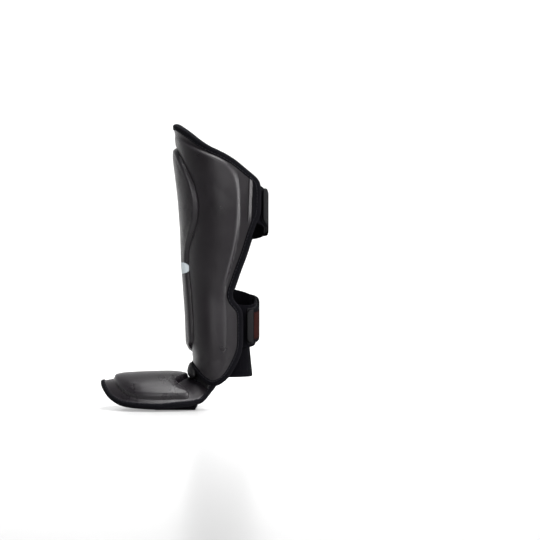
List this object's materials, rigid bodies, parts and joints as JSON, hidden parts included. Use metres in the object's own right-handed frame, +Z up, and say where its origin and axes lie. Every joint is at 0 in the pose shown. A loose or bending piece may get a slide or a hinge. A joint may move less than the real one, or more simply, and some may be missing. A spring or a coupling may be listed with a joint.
{
  "type": "shin and instep guard",
  "caption": "Padded shin guard with a hinged instep pad, wrapped behind the leg by two hook-and-loop straps, a heel band and a sole strap.",
  "frame": {"origin": "on the floor under the middle of the guard's bounding box, at the flat underside of the sole strap", "axes": "+Z up the shin towards the knee, toe towards -X and calf towards +X, outer side of the left leg towards -Y"},
  "size_m": [0.2377, 0.136, 0.4037],
  "materials": {
    "cover_leather": "satin",
    "pad_leather": "satin",
    "edge_tape": "matte",
    "lining_cloth": "matte",
    "impact_foam": "matte",
    "comfort_foam": "matte",
    "elastic": "matte",
    "loop_tape": "matte",
    "hook_tape": "satin",
    "tab_rubber": "satin"
  },
  "bodies": {
    "shin": {"shin_lining": "lining_cloth", "shin_comfort_foam": "comfort_foam", "shin_impact_foam": "impact_foam", "shin_cover": "cover_leather", "shin_binding": "edge_tape", "ridge_foam": "impact_foam", "ridge_cover": "pad_leather", "calf_loop_band": "elastic", "calf_loop_patch": "loop_tape", "calf_strap_anchor": "elastic", "ankle_loop_band": "elastic", "ankle_loop_patch": "loop_tape", "ankle_strap_anchor": "elastic", "heel_strap": "elastic", "ankle_web": "cover_leather"},
    "instep": {"instep_lining": "lining_cloth", "instep_foam": "comfort_foam", "instep_cover": "cover_leather", "instep_binding": "edge_tape", "instep_pad_foam": "impact_foam", "instep_pad_cover": "pad_leather", "sole_strap": "elastic"},
    "calf_strap": {"calf_hook_band": "elastic", "calf_hook_patch": "hook_tape", "calf_pull_tab": "tab_rubber"},
    "ankle_strap": {"ankle_hook_band": "elastic", "ankle_hook_patch": "hook_tape", "ankle_pull_tab": "tab_rubber"}
  },
  "joints": [
    {"name": "instep_flex", "type": "hinge", "parent": "shin", "child": "instep", "pos_m": [0.0095, 0, 0.0505], "axis": [0, -1, 0], "range_deg": [-8, 19]},
    {"name": "calf_strap_open", "type": "hinge", "parent": "shin", "child": "calf_strap", "pos_m": [0.10949, 0.02935, 0.2765], "axis": [0, 0, 1], "range_deg": [0, 100]},
    {"name": "ankle_strap_open", "type": "hinge", "parent": "shin", "child": "ankle_strap", "pos_m": [0.09015, 0.02974, 0.1285], "axis": [0, 0, 1], "range_deg": [0, 100]}
  ]
}
